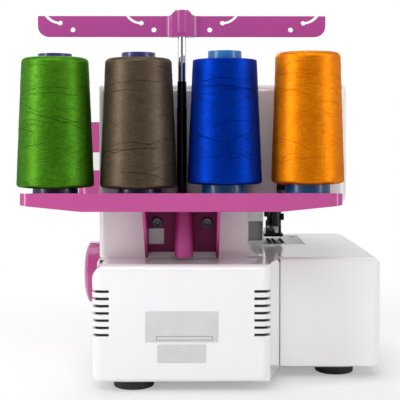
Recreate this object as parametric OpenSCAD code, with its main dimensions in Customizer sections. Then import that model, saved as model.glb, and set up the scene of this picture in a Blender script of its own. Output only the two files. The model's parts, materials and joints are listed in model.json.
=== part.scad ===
// Four-thread overlock serger with a telescopic thread stand and four thread cones.
// Machine datum while drawing: X = 0 at the thread stand's axis, Y = 0 at the rear face of the
// tower, Z = 0 on the table. The handwheel is at +X and the operator sits at -Y.
// at_base() then moves the datum so that the origin is the bottom centre of the bounding box.

/* [Lower body] */
// Half width of the lower body
body_half = 78; // [74:0.5:84]
// Distance from the tower's rear face to the front of the lower body
body_front = 205; // [200:1:215]
// How far the rear casing stands out behind the tower
casing_depth = 50; // [46:1:56]
// Height of the rear casing's ledge
ledge_top = 112; // [111:0.5:113]
// Lower edge of the casings above the table
casing_bottom = 10.5; // [10:0.5:11]
// Wall thickness of the moulded casings
wall = 2.5; // [2:0.1:3]
// Height of the rubber feet
foot_h = 8; // [6:0.5:8]

/* [Bed] */
// Distance from the stand axis to the left end of the bed
bed_left = 182.5; // [180:0.5:190]
// How far the bed stands behind the tower's rear face
bed_rear = 5; // [3:0.5:8]
// Height of the sewing surface
bed_top = 112; // [112:0.5:112.5]
// How much narrower the bed is at its front
bed_taper = 8; // [4:0.5:9]
// Where the rear casing's flared side meets the bed
bed_join = 89; // [88:0.5:90]

/* [Tower and head] */
// Distance from the stand axis to the tower's right side
tower_right = 76; // [72:0.5:77]
// Distance from the stand axis to the column's left side
tower_left = 60; // [59:0.5:61]
// Distance from the stand axis to the left end of the head
head_left = 151; // [148:0.5:156]
// Height of the tower's top
tower_top = 271; // [271:0.5:276]
// Height of the head's underside
head_under = 160; // [159:0.5:161]
// Depth of the column
tower_depth = 135; // [134:0.5:136]
// Depth of the head
head_depth = 165; // [162:1:170]

/* [Tension console] */
// Right end of the console, from the stand axis
console_right = 112; // [108:0.5:114]
// Left end of the console, from the stand axis
console_left = 52; // [50:0.5:52]
// Depth of the console in front of the column
console_depth = 43; // [42:0.5:46]
// Distance between neighbouring tension dials
dial_pitch = 36; // [34:0.5:36]
// Radius of a tension dial
dial_r = 17; // [16:0.1:17]

/* [Thread stand] */
// Distance between the two inner spool pins
pin_inner = 75; // [72:0.5:76]
// Distance from an inner spool pin to the outer one beside it
pin_outer = 72.4; // [70:0.1:74]
// Length of the spool tray
tray_w = 272; // [268:1:276]
// Depth of the spool tray
tray_d = 74; // [72:0.5:78]
// Height of the tray's rim
tray_top = 175.8; // [175:0.2:178]
// Thickness of the tray at its middle
tray_h = 15.5; // [14:0.5:16]
// Outer radius of the pole's lower section
pole_r = 4.5; // [4.4:0.1:4.8]
// Height of the joint between the lower and middle pole sections
pole_joint_low = 248; // [246:0.5:250]
// Height of the joint between the middle and top pole sections
pole_joint_high = 271.7; // [270:0.5:274]
// Length of the thread tree
tree_w = 255; // [250:1:260]
// Lower edge of the thread tree
tree_low = 311.2; // [310.8:0.2:314]
// Height of the thread tree's plate
tree_h = 18.4; // [18:0.2:20]

/* [Thread cones] */
// Radius of the widest wound thread at its base
cone_base_r = 34; // [32:0.5:34]
// Height of the tallest wound thread
cone_h = 113; // [110:1:114]
// Height of the underside of the lowest wound thread
cone_z = 179; // [178.5:0.5:181]

/* [Drive] */
// Height of the main shaft
shaft_z = 87; // [86:0.5:88]
// Distance of the main shaft in front of the tower's rear face
shaft_y = -80; // [-81:0.5:-79]
// Radius of the handwheel
wheel_r = 30; // [28:0.5:30]
// Radius of the main shaft
shaft_r = 4; // [3.8:0.1:4.2]

/* [Hidden] */
$fn = 48;

run_gap = 0.05;                      // radial clearance of every running fit
body_gap = 0.4;                      // clearance between pieces that move past each other
white = "#efefef";
pink = "#c2568f";
steel = "#c9ccd0";

plate_z = casing_bottom + 0.3;       // underside of the base plate's flange
floor_z = plate_z + 2.2;             // top of the base plate, which carries the frame
plate_front = body_front - 9;
hinge_y = -body_front + 3.5;         // looper cover's hinge
hinge_z = casing_bottom + 5.5;
hinge_r = 2;
cover_face = -body_front - 4;        // front of the looper cover
foot_spots = [[43, 21], [-144, -30], [-146, -176], [46, -176]];

console_y1 = -tower_depth;
console_y0 = console_y1 - console_depth;
console_low = 160;
console_high = 237;
guide_split_low = 186;
guide_split_high = 205;
dial_z = (guide_split_low + guide_split_high) / 2;
dial_y = console_y0 + 12;
dial_w = 12;
dial_x = [for (i = [0 : 3]) console_right - 28 - (3 - i) * dial_pitch];
stud_r = 2;

needle_x = -95;
needle_y = -130;
presser_y = needle_y + 18;
needle_bar_r = 3.5;
presser_bar_r = 3;
needle_spread = 2.4;                 // half distance between the two needles
plate_box = [-124.5, -180, -81, -98];  // needle plate: left, front, right, rear
plate_t = 2.5;
feed_rows = [-103, -95, -90];        // the three rows of feed teeth
foot_lift = 5.5;                     // the presser foot is drawn raised by this much
lifter_y = -88;
lifter_z = 172;
cam_y = lifter_y + 11.06;            // lobe of the lifter's cam, under the bar's finger
cam_z = lifter_z + 2.76;
lifter_x0 = -95.6;
lifter_x1 = -88.4;
knife_y = -112;
knife_z = 128;
lower_looper_axis = [-92, 40];
upper_looper_axis = [-40, 60];
looper_wall_y = -108;

pulley_x = 48;
pulley_w = 10;
big_pulley_r = 28;
wheel_w = 17.4;                      // thickness of the handwheel
small_pulley_r = 8;
motor_y = 12;
motor_z = 48;
length_dial = [-160, 52];            // Y and Z of the stitch length dial
diff_dial = [-160, 88];

stand_y = 41;                        // depth of the cones' axes behind the tower
pole_y = 22;
tray_y0 = 4;
tray_floor = 168;
tray_bottom = tray_top - tray_h;
tree_high = tree_low + tree_h;
pin_x = [-pin_inner / 2 - pin_outer, -pin_inner / 2, pin_inner / 2, pin_inner / 2 + pin_outer];
// how each cone differs, orange, blue, brown, green: base radius, taper, underside, top, shoulder,
// and how far the core stands clear of the thread
cone_fit = [[-2.1, 3.6, 3.5, 3.8, 4, -0.8], [-1.2, 4.8, 3.1, -2.6, 0.8, 7.5],
            [0, 5.1, -0.2, -1.4, 4, 4.9], [-0.2, 4.8, 0.2, -0.9, 4.2, 3.3]];
core_base_r = 20;
core_top_r = 14.5;
core_top = 296.5;                    // height at which a core has its top radius
tray_far_rim = 169.9;                // the rim falls towards the machine
pin_r = 3;
bracket_half = 33.2;
bracket_low = 113.4;                 // lower ends of the bracket's gussets
bracket_panel_low = 117.3;
socket_x = -1.8;                     // the pole's socket is thicker on one side
socket_low = 115.2;
pole_foot = 119.5;

box_x = (pin_x[3] + cone_base_r + cone_fit[3][0] - bed_left) / 2;
box_y = (tray_y0 + tray_d + cover_face) / 2;

// ---- helpers ----

module at_base() { translate([-box_x, -box_y, 0]) children(); }

module along_x(x0, x1) { translate([x0, 0, 0]) rotate([90, 0, 90]) linear_extrude(x1 - x0) children(); }

module along_y(y0, y1) { translate([0, y1, 0]) rotate([90, 0, 0]) linear_extrude(y1 - y0) children(); }

module along_z(z0, z1) { translate([0, 0, z0]) linear_extrude(z1 - z0) children(); }

module rect(x0, y0, x1, y1) { translate([x0, y0]) square([x1 - x0, y1 - y0]); }

module block(x0, y0, z0, x1, y1, z1) { translate([x0, y0, z0]) cube([x1 - x0, y1 - y0, z1 - z0]); }

// The sliver between a square corner at (x, y) and its rounding of radius r. The sliver reaches
// from the corner towards (sx, sy): it is cut from a convex corner and added to a concave one.
module corner(x, y, sx, sy, r) {
    e = 0.5;
    translate([x, y]) difference() {
        polygon([[-sx * e, -sy * e], [sx * r, -sy * e], [sx * r, sy * r], [-sx * e, sy * r]]);
        translate([sx * r, sy * r]) circle(r);
    }
}

// A rectangle with its own radius at each corner: lower left, lower right, upper right, upper left
module panel(x0, y0, x1, y1, r) {
    difference() {
        rect(x0, y0, x1, y1);
        if (r[0] > 0) corner(x0, y0, 1, 1, r[0]);
        if (r[1] > 0) corner(x1, y0, -1, 1, r[1]);
        if (r[2] > 0) corner(x1, y1, -1, -1, r[2]);
        if (r[3] > 0) corner(x0, y1, 1, -1, r[3]);
    }
}

// Shape to cut away at a corner v whose sides leave at angles a1 and a2, to round it by r
module blunt(v, a1, a2, r) {
    half = (a2 - a1) / 2;
    reach = r / tan(half);
    centre = v + r / sin(half) * [cos(a1 + half), sin(a1 + half)];
    out1 = 0.5 * [sin(a1), -cos(a1)];
    out2 = 0.5 * [-sin(a2), cos(a2)];
    difference() {
        polygon([v + out1 + out2, v + out1 + reach * [cos(a1), sin(a1)], centre,
                 v + out2 + reach * [cos(a2), sin(a2)]]);
        translate(centre) circle(r);
    }
}

module rod_x(x0, x1, y, z, r) { translate([x0, y, z]) rotate([0, 90, 0]) cylinder(x1 - x0, r, r); }

module rod_y(y0, y1, x, z, r) { translate([x, y1, z]) rotate([90, 0, 0]) cylinder(y1 - y0, r, r); }

module rod_z(z0, z1, x, y, r) { translate([x, y, z0]) cylinder(z1 - z0, r, r); }

// A straight bar with round ends between two points
module bar(a, b, w) {
    d = b - a;
    translate(a) circle(w / 2);
    translate(b) circle(w / 2);
    translate(a) rotate(atan2(d[1], d[0])) translate([0, -w / 2]) square([norm(d), w]);
}

// ---- base ----

module base_plate() color("#c8c8c8") at_base() difference() {
    union() {
        along_z(plate_z, floor_z) {
            panel(-body_half + 3.2, -plate_front, body_half - 3.2, casing_depth - 3.2, [0, 0, 6, 6]);
            panel(-bed_left + 12, -plate_front, -body_half + 5, -1.5, [12, 0, 0, 6]);
        }
        along_z(foot_h, plate_z) {
            panel(-bed_left + 20, -plate_front + 6, -60, -10, [10, 0, 0, 10]);
            panel(-66, -plate_front + 6, 62, casing_depth - 9, [0, 10, 10, 10]);
        }
        for (x = [-78.5, 58]) ear(x);
    }
    for (x = [-78.5, 58]) rod_x(x - 3, x + 3, hinge_y, hinge_z, hinge_r + run_gap);
}

module ear(x) {
    along_x(x - 2, x + 2) difference() {
        union() {
            translate([hinge_y, hinge_z]) circle(3.2);
            rect(hinge_y, plate_z, -plate_front + 4, hinge_z + 3.2);
        }
        corner(-plate_front + 4, hinge_z + 3.2, -1, -1, 3);
    }
}

module rubber_feet() color("#1a1a1a") at_base() for (p = foot_spots) translate([p[0], p[1], 0])
    difference() {
        rotate_extrude() panel(0, 0, 18, foot_h, [0, 1.5, 1, 0]);
        translate([0, 0, -1]) cylinder(4, 5, 5);
    }

// ---- casings ----

// The rear casing's outline seen from above, inset by t, with its flared left side
module rear_plan(t) {
    difference() {
        polygon([[-bed_join + t, -1], [-bed_join + t, bed_rear],
                 [-body_half + t, casing_depth - 12], [-body_half + t, casing_depth - t],
                 [body_half - t, casing_depth - t], [body_half - t, -1]]);
        corner(-body_half + t, casing_depth - t, 1, -1, 8 - t);
        corner(body_half - t, casing_depth - t, -1, -1, 8 - t);
        rect(-bed_left, -10, bed_left, 0);
    }
}

module rear_front_view(t) {
    panel(-bed_join - 1, casing_bottom - (t > 0 ? 1 : 0), body_half - t, ledge_top - t,
        [0, t > 0 ? 0 : 7, 14 - t, 8 - t]);
}

module rear_solid(t) {
    intersection() {
        along_z(0, ledge_top + 1) rear_plan(t);
        along_y(-1, casing_depth + 1) rear_front_view(t);
        along_x(-bed_left, bed_left)
            panel(-5, casing_bottom - 2, casing_depth - t, ledge_top - t, [0, t > 0 ? 0 : 5, 5 - t, 0]);
    }
}

module rear_casing() color(white) at_base() difference() {
    rear_solid(0);
    translate([0, -0.01, 0]) rear_solid(wall);
    // the cooling slots wrap both rear corners
    for (s = [-1, 1], i = [0 : 6])
        translate([s * 71.5, casing_depth - 4, 51 + 6.3 * i]) cube([17, 18, 2.4], center = true);
}

module body_casing() color(white) at_base() difference() {
    intersection() {
        block(-tower_left - 2, -body_front, casing_bottom, body_half, 0, bed_top);
        along_z(0, bed_top + 1) panel(-90, -body_front, body_half, 1, [0, 8, 0, 0]);
        along_y(-body_front - 1, 1) panel(-90, casing_bottom, body_half, bed_top, [0, 7, 6, 0]);
    }
    block(-tower_left - 3, -body_front + wall, casing_bottom - 1, body_half - wall, 1, bed_top - wall);
    // front opening onto the loopers
    block(-tower_left - 3, -body_front - 1, casing_bottom - 1, tower_right - 0.2, -body_front + 10,
        bed_top - 3);
    // way up into the tower
    block(-tower_left + 4, -tower_depth + 8, bed_top - 5, tower_right - 6, -8, bed_top + 1);
    rod_x(body_half - 4, body_half + 1, shaft_y, shaft_z, 12);
    for (p = [length_dial, diff_dial]) rod_x(body_half - 4, body_half + 1, p[0], p[1], 3 + run_gap);
    block(body_half - 4, -70, 22, body_half + 1, -22, 48);
}

module side_cover() color(white) at_base() difference() {
    union() {
        intersection() {
            block(-bed_left, -body_front, casing_bottom + 2, -bed_join - 0.6, bed_rear, bed_top);
            along_z(0, bed_top + 1) bed_plan(0);
            along_y(-body_front - 1, bed_rear + 1) side_view(0);
            along_x(-bed_left - 1, 0) panel(-body_front, 0, bed_rear, bed_top, [0, 0, 4, 8]);
        }
        intersection() {
            block(-bed_join - 5, -body_front, bed_top - wall, -tower_left - 2.3, 0, bed_top);
            along_x(-bed_left, 0) panel(-body_front, 0, 10, bed_top, [0, 0, 0, 8]);
        }
    }
    intersection() {
        along_z(0, bed_top) bed_plan(wall);
        along_y(-body_front, bed_rear) side_view(wall);
    }
    // room for the needle plate and the knives
    block(plate_box[0] - body_gap, plate_box[1] - body_gap, bed_top - 5,
        0, plate_box[3] + body_gap, bed_top + 1);
}

// The bed seen from above, inset by t: its left side runs in towards the front
module bed_plan(t) {
    shoulder_y = -12;
    front = [-bed_left + bed_taper + t, -body_front + t];
    difference() {
        polygon([[-bed_left + t, bed_rear - t], [-bed_left + t, shoulder_y], front,
                 [0, -body_front + t], [0, bed_rear - t]]);
        corner(-bed_left + t, bed_rear - t, 1, -1, 11 - t);
        blunt(front, 0, 90 + atan(bed_taper / (shoulder_y + body_front - t)), 22 - t);
    }
}

module side_view(t) {
    panel(-bed_left + t, t > 0 ? -1 : casing_bottom + 2, 0, bed_top - t, [t > 0 ? 0 : 8, 0, 0, 9 - t]);
}

// Front view of the column and of the head, inset by t
module column_view(t) {
    difference() {
        rect(-tower_left + t, bed_top - t, tower_right - t, tower_top - t);
        corner(tower_right - t, tower_top - t, -1, -1, 5 - t);
    }
}

module head_view(t) {
    difference() {
        rect(-head_left + t, head_under + t, -console_left - t, tower_top - t);
        corner(-head_left + t, tower_top - t, 1, -1, 7 - t);
        corner(-head_left + t, head_under + t, 1, 1, 10 - t);
    }
}

module tower_solid(t) {
    intersection() {
        union() {
            intersection() {
                along_z(bed_top - t, tower_top) panel(-tower_left - 1 + t, -tower_depth + t,
                    tower_right - t, -t, [0, 0, 5 - t, 0]);
                along_y(-tower_depth, 0) column_view(t);
            }
            intersection() {
                along_z(head_under, tower_top)
                    panel(-head_left + t, -head_depth + t, -console_left - t, -t, [18 - t, 8 - t, 0, 8 - t]);
                along_y(-head_depth, 0) head_view(t);
            }
        }
        along_x(-head_left - 1, tower_right + 1)
            panel(-head_depth + t, bed_top - 10, -t, tower_top - t, [0, 0, 8 - t, 24 - t]);
    }
}

module tower_casing() color(white) at_base() difference() {
    union() {
        tower_solid(0);
        // the column's foot spreads onto the bed, and its top corner runs into the head
        along_y(-98, 0) corner(-tower_left, bed_top + body_gap + 0.5, -1, 1, 14);
        along_y(-tower_depth + 12, 0) corner(-tower_left, head_under, -1, -1, 8);
    }
    tower_solid(wall);
    // opening above the needles, slot for the presser lifter and well for the pressure dial
    block(-128, -149, head_under - 1, -tower_left - 10, -100, head_under + 4);
    block(lifter_x0 - 1.6, lifter_y + 10, head_under - 1, lifter_x1 + 1.6, 1, head_under + 4);
    block(lifter_x0 - 1.6, -4, head_under - 1, lifter_x1 + 1.6, 1, lifter_z + 8.5);
    rod_z(tower_top - 6, tower_top + 1, needle_x, presser_y, 11);
}

// ---- tension console ----

module console_layer(z0, z1, low_r, high_r) {
    difference() {
        intersection() {
            along_z(z0, z1) panel(-console_left, console_y0, console_right, console_y1, [3, 12, 12, 0]);
            along_x(-console_left, console_right)
                panel(console_y0, z0, console_y1, z1, [low_r, 0, 0, high_r]);
        }
        for (x = dial_x) block(x - dial_w / 2 - 1, console_y0 - 1, dial_z - dial_r - 2,
            x + dial_w / 2 + 6, dial_y + dial_r + 1.5, dial_z + dial_r + 2);
    }
}

module thread_holes(z_list) {
    for (x = dial_x, z = z_list) rod_y(console_y0 - 1, console_y1 + 1, x + 15, z, 1.3);
}

module console_body() color(white) at_base()
    console_layer(guide_split_low, guide_split_high, 0, 0);

module upper_thread_guide() color(pink) at_base() difference() {
    console_layer(guide_split_high, console_high, 0, 14);
    thread_holes([209]);
    // each thread drops through an open slot in the top edge
    for (x = dial_x) block(x + 13.5, console_y0 - 1, console_high - 8, x + 16.5, console_y1 + 1,
        console_high + 1);
}

module lower_thread_guide() color(pink) at_base() difference() {
    console_layer(console_low, guide_split_low, 10, 0);
    thread_holes([180, 164]);
}

module tension_dial(x) {
    difference() {
        translate([x - dial_w / 2, dial_y, dial_z]) rotate([0, 90, 0]) rotate_extrude()
            panel(0, 0, dial_r, dial_w, [0, 1.5, 1.5, 0]);
        for (a = [0 : 15 : 345]) translate([0, dial_y, dial_z]) rotate([a, 0, 0])
            rod_x(x - dial_w, x + dial_w, dial_r + 0.4, 0, 1.2);
        rod_x(x - dial_w, x + dial_w, dial_y, dial_z, stud_r + run_gap);
    }
}

module dial_left_needle() color("#f5a800") at_base() tension_dial(dial_x[0]);

module dial_right_needle() color("#0a3fb0") at_base() tension_dial(dial_x[1]);

module dial_upper_looper() color("#6e6250") at_base() tension_dial(dial_x[2]);

module dial_lower_looper() color("#4a9a2a") at_base() tension_dial(dial_x[3]);

module tension_discs() color(steel) at_base() for (x = dial_x) {
    rod_x(x - dial_w / 2 - 1, x + dial_w / 2 + 6, dial_y, dial_z, stud_r);
    for (dx = [1.5, 3.6]) rod_x(x + dial_w / 2 + dx, x + dial_w / 2 + dx + 0.9, dial_y, dial_z, 11);
}

// ---- looper bay ----

module looper_cover() color(white) at_base() {
    difference() {
        intersection() {
            block(-bed_join, cover_face, casing_bottom + 1.5,
                tower_right - 0.8, -body_front + 1, bed_top - 3.5);
            along_y(cover_face - 1, 0)
                panel(-bed_join, casing_bottom + 1.5, tower_right - 0.8, bed_top - 3.5, [3, 10, 10, 3]);
            along_x(-bed_join - 1, tower_right)
                panel(cover_face, casing_bottom + 1.5, -body_front + 1, bed_top - 3.5, [3, 0, 0, 3]);
        }
        block(-bed_join + 3, cover_face + 2, casing_bottom + 4.5, tower_right - 3.8, 0, bed_top - 6.5);
        for (x = [-78.5, 58]) block(x - 6, cover_face + 2, casing_bottom, x + 6, 0, casing_bottom + 9);
        // thumb rest that the operator pushes to open the cover
        translate([tower_right - 20, cover_face - 6, 60]) sphere(9);
    }
    for (x = [-78.5, 58], s = [-1, 1]) along_x(x + s * 4 - 1.2, x + s * 4 + 1.2) {
        bar([hinge_y, hinge_z], [cover_face + 3.5, hinge_z], 5);
    }
    for (x = [-78.5, 58]) rod_x(x - 5.2, x + 5.2, hinge_y, hinge_z, hinge_r);
}

module looper_housing() color("#d9d9d9") at_base() {
    difference() {
        union() {
            block(-112, looper_wall_y, 19, 44, looper_wall_y + 3, 100);
            block(-112, -150, 19, 44, looper_wall_y, 21.5);
            block(-tower_left + 1, -150, floor_z, 44, looper_wall_y, 21.5);
            // guide on which the feed dogs' carrier slides
            block(-100, looper_wall_y, 99, -93, looper_wall_y + 3, 103);
        }
        block(0, looper_wall_y - 1, 80, 30, looper_wall_y + 4, 101);
    }
    // studs that carry the loopers, and the post that carries the fixed knife
    rod_y(-140, looper_wall_y, lower_looper_axis[0], lower_looper_axis[1], 3);
    rod_y(-140, looper_wall_y, upper_looper_axis[0], upper_looper_axis[1], 3);
    block(-61, -150, 21.5, -55, -141, 92);
}

module free_arm() color("#e2e2e2") at_base() difference() {
    block(plate_box[0], plate_box[1] + 0.5, floor_z, -62.5, plate_box[3] - 0.5, bed_top - plate_t);
    block(plate_box[0] + 3, plate_box[1] - 1.5, 19, -60, plate_box[3] - 3.5, bed_top - plate_t - 3);
    block(-107, -153, 100, -84, -103, bed_top);
    block(-86, -158, 100, -60, -132, bed_top);
}

module needle_plate() color(steel) at_base() difference() {
    along_z(bed_top - plate_t, bed_top)
        panel(plate_box[0], plate_box[1], plate_box[2], plate_box[3], [4, 2, 2, 1]);
    // feed slots, needle slot, screw holes and the two countersunk seats
    for (x = feed_rows) block(x - 1.9, -151.5, bed_top - 4, x + 1.9, -107.5, bed_top + 1);
    block(-105, needle_y - 2, bed_top - 4, -88, needle_y + 2, bed_top + 1);
    rod_z(bed_top - 4, bed_top + 1, -117.4, -165, 3.4);
}

module feed_dogs() color("#8d9094") at_base() {
    for (x = feed_rows) along_x(x - 1.4, x + 1.4) feed_row();
    block(-105, -117, 103.2, -88, -111, 105.8);
    block(-98, -114, 103.2, -95, looper_wall_y + 3, 105.8);
}

module feed_row() {
    tooth = 1.8;
    teeth = 20;
    y0 = -149;
    polygon(concat([[y0, 104.5]],
        [for (i = [0 : teeth - 1], k = [0, 1]) [y0 + (i + k) * tooth, 110.4 + k * 1.3]],
        [[y0 + teeth * tooth, 104.5]]));
}

module lower_knife() color(steel) at_base() {
    along_x(-80.9, -78.8) polygon([[-152, 84], [-138, 84], [-138, 111.3], [-152, 111.8]]);
    block(-79, -150, 84, -61, -141.5, 92);
}

module knife_arm() color("#9a9da1") at_base() along_x(-76, -73) difference() {
    union() {
        translate([knife_y, knife_z]) circle(6);
        polygon([[knife_y, knife_z - 5], [knife_y, knife_z + 5], [-152, knife_z + 6], [-152, knife_z - 4]]);
    }
    translate([knife_y, knife_z]) circle(2.5 + run_gap);
}

module upper_knife() color(steel) at_base() along_x(-78.4, -76)
    polygon([[-153, 115.5], [-141, 113.2], [-141, 132], [-144, 134], [-153, 134]]);

module knife_guard() color(white) at_base() {
    difference() {
        along_z(bed_top + body_gap, 145) panel(-82, -104.5, -61, -99.5, [1, 0, 0, 2]);
        // grey finger recess in its rear face
        block(-81, -103, 115.7, -66.8, -90, 135.4);
    }
    block(-82, -150, 142, -61, -104, 145);
    block(-63.5, -134, bed_top + body_gap, -61, -104, 145);
    rod_x(-77, -63, knife_y, knife_z, 2.5);
}

module lower_looper() color(steel) at_base() difference() {
    union() {
        along_y(-128, -126) union() {
            polygon([[-95, 40], [-89, 40], [-90, 92], [-73, 98.2], [-92, 99], [-95, 92]]);
        }
        rod_y(-131, -123, lower_looper_axis[0], lower_looper_axis[1], 6);
    }
    rod_y(-132, -122, lower_looper_axis[0], lower_looper_axis[1], 3 + run_gap);
}

module upper_looper() color(steel) at_base() difference() {
    union() {
        along_y(-136, -134)
            polygon([[-36, 57], [-44, 55], [-76, 86], [-80, 97], [-88, 104.5],
                [-74, 97], [-71, 89], [-38, 64]]);
        rod_y(-138, -132, upper_looper_axis[0], upper_looper_axis[1], 6);
    }
    rod_y(-139, -131, upper_looper_axis[0], upper_looper_axis[1], 3 + run_gap);
}

// ---- needle and presser mechanism ----

module needle_bar() color(steel) at_base() rod_z(153, 258, needle_x, needle_y, needle_bar_r);

module needle_clamp() color("#5d6064") at_base() difference() {
    union() {
        rod_z(149, 162, needle_x, needle_y, 6);
        block(needle_x - 7.5, needle_y - 3.5, 149, needle_x + 7.5, needle_y + 3.5, 155);
        // clamp screws for the two needles
        for (s = [-1, 1]) rod_x(needle_x + min(s * 7, s * 11), needle_x + max(s * 7, s * 11),
            needle_y, 152, 2.4);
    }
    rod_z(153, 163, needle_x, needle_y, needle_bar_r);
    for (s = [-1, 1]) rod_z(148, 153, needle_x + s * needle_spread, needle_y, 1);
}

module needles() color(steel) at_base() for (s = [-1, 1])
    translate([needle_x + s * needle_spread, needle_y, 0]) {
        rod_z(143, 153, 0, 0, 1);
        translate([0, 0, 119]) cylinder(24, 0.5, 0.5);
        translate([0, 0, 115.5]) cylinder(3.5, 0.08, 0.5);
    }

module presser_bar() color(steel) at_base() difference() {
    union() {
        rod_z(126 + foot_lift, 236, needle_x, presser_y, presser_bar_r);
        // arm clamped on the bar, with the finger that the lifter's cam pushes up
        block(needle_x - 4, presser_y - 5, 185, needle_x + 4, cam_y + 4, 190);
        block(needle_x - 4, cam_y - 1.5, 179, needle_x + 4, cam_y + 4, 185.5);
    }
    rod_x(needle_x - 4, needle_x + 4, presser_y, 130 + foot_lift, 1);
}

module presser_foot() color("#74777b") at_base() translate([0, 0, foot_lift]) {
    rear = presser_y + 1;
    difference() {
        union() {
            along_x(-103.3, -83.7) polygon([[-154, 116.5], [-153, 114.6], [-146, bed_top + 0.4],
                [-116, bed_top + 0.4], [-112, 114.4], [-112, 116], [-143, 116], [-150, 118],
                [-153, 118]]);
            block(-101.2, -122, 115.5, -85.4, -113, 118);
        }
        block(-100.5, needle_y - 3, bed_top, -89.5, needle_y + 3, 120);
        for (x = feed_rows) block(x - 0.8, -156, bed_top, x + 0.8, -138, 120);
        block(-86.5, -160, bed_top, -82, -136, 120);
    }
    // ankle that clips over the foot's pin, with two windows in its rear face, and the clamp
    // round the bar
    difference() {
        union() {
            block(-101.2, rear - 6.5, 117, -85.4, rear, 129.5);
            block(-101.2, presser_y - 4, 128.5, -86.6, rear, 138.6);
            rod_z(124, 140, needle_x, presser_y, 6);
        }
        block(-98.4, rear - 1.6, 116, -94.6, rear + 1, 128);
        block(-92.6, rear - 1.2, 118.5, -87.4, rear + 1, 126.5);
        block(-93.5, rear - 0.8, 130, -90.5, rear + 1, 140);
        rod_z(126, 141, needle_x, presser_y, presser_bar_r);
    }
    rod_x(-104, -101, presser_y - 0.5, 133.3, 3.5);
    rod_x(-86.8, -83.6, presser_y - 0.5, 136, 2.6);
}

module presser_lifter() color("#2b2b2d") at_base() difference() {
    along_x(lifter_x0, lifter_x1) {
        translate([lifter_y, lifter_z]) circle(5);
        translate([cam_y, cam_z]) circle(4);
        // the handle runs out through the rear of the head, under the tray's far rim
        polygon([[-90, 175.5], [-76.9, 178.2], [-66, 175.5], [-2, 178.5], [2, 177.5], [2, 173.5],
                 [-2, 172.5], [-66, 170], [-76.9, 170.9], [-87, 168.2]]);
    }
    rod_x(lifter_x0 - 1, lifter_x1 + 1, lifter_y, lifter_z, 2 + run_gap);
    // finger notch in the handle's end
    block(lifter_x0 + 1.8, -7, 174.8, lifter_x1 - 1.8, 3, 177);
}

module pressure_dial() color("#d9d9d9") at_base() difference() {
    union() {
        rod_z(262, tower_top - 0.8, needle_x, presser_y, 10);
        rod_z(238, 262, needle_x, presser_y, 4);
    }
    block(needle_x - 8, presser_y - 1, tower_top - 3, needle_x + 8, presser_y + 1, tower_top);
}

module sewing_lamp() color("#fff6d8", 0.6) at_base() {
    block(-127.5, -145, head_under - 1.5, -113, -115, head_under + 2);
    block(-124, -140, head_under + 2, -116, -120, head_under + 12);
}

// ---- frame and drive ----

module frame_casting() color("#8f959b") at_base() {
    difference() {
        union() {
            block(-58, -100, floor_z, 68, -60, 19);
            block(-58, -100, floor_z, -52, -60, 107);
            block(62, -100, floor_z, 68, -60, 104);
            block(-56, -102, 100, -51, -60, 250);
            block(-56, -131, 158, -51, -60, 250);
            for (z = [163, 210]) block(-103, -138, z, -55.5, -104, z + 10);
            block(-103, -120, 240, -55.5, -104, 250);
            block(lifter_x1 + 0.4, -106, 165, -84, lifter_y, 177);
            rod_x(lifter_x1 + 0.4, -84, lifter_y, lifter_z, 5);
        }
        for (x = [-60, 60]) rod_x(x, x + 10, shaft_y, shaft_z, 7);
        rod_z(160, 225, needle_x, needle_y, needle_bar_r + run_gap);
        rod_z(160, 225, needle_x, presser_y, presser_bar_r + run_gap);
        rod_z(235, 255, needle_x, presser_y, 4 + run_gap);
    }
    rod_x(lifter_x0 - 0.5, -86, lifter_y, lifter_z, 2);
}

module shaft_bushings() color("#b98a4a") at_base() for (x = [-58, 62]) difference() {
    rod_x(x, x + 6, shaft_y, shaft_z, 7);
    rod_x(x - 1, x + 7, shaft_y, shaft_z, shaft_r + run_gap);
}

module main_shaft() color(steel) at_base() {
    rod_x(-62, 90, shaft_y, shaft_z, shaft_r);
    // crank disc that drives the needle bar's connecting link
    rod_x(-50, -44, shaft_y, shaft_z, 15);
    rod_x(-44, -36, shaft_y + 9, shaft_z, 3);
}

module handwheel() color(pink) at_base() translate([body_half + 1.2, shaft_y, shaft_z]) rotate([0, 90, 0])
    difference() {
        rotate_extrude() difference() {
            panel(0, 0, wheel_r, wheel_w, [0, 2, 0, 0]);
            // the outer face falls away to the rim
            difference() {
                rect(wheel_r - 13, wheel_w - 6, wheel_r + 1, wheel_w + 1);
                translate([wheel_r - 13, wheel_w - 21.4]) circle(21.4);
            }
        }
        translate([0, 0, -1]) cylinder(12, shaft_r, shaft_r);
        translate([0, 0, -1]) difference() {
            cylinder(4, wheel_r - 5, wheel_r - 5);
            translate([0, 0, -1]) cylinder(6, 9, 9);
        }
        for (a = [0 : 12 : 348]) rotate(a) translate([wheel_r + 0.6, 0, -1]) cylinder(5, 1.4, 1.4);
    }

module pulley(x, y, z, r, bore) {
    difference() {
        union() {
            rod_x(x, x + pulley_w, y, z, r);
            for (dx = [0, pulley_w - 1]) rod_x(x + dx, x + dx + 1, y, z, r + 2.6);
        }
        if (bore > 0) rod_x(x - 1, x + pulley_w + 1, y, z, bore);
    }
}

module shaft_pulley() color("#3a3a3c") at_base() difference() {
    pulley(pulley_x, shaft_y, shaft_z, big_pulley_r, shaft_r);
    for (a = [0 : 60 : 300]) translate([0, shaft_y, shaft_z]) rotate([a, 0, 0])
        rod_x(pulley_x - 1, pulley_x + pulley_w + 1, 16, 0, 6);
}

module motor_pulley() color("#3a3a3c") at_base() {
    pulley(pulley_x, motor_y, motor_z, small_pulley_r, 0);
    rod_x(26, pulley_x, motor_y, motor_z, 3);
}

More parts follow.
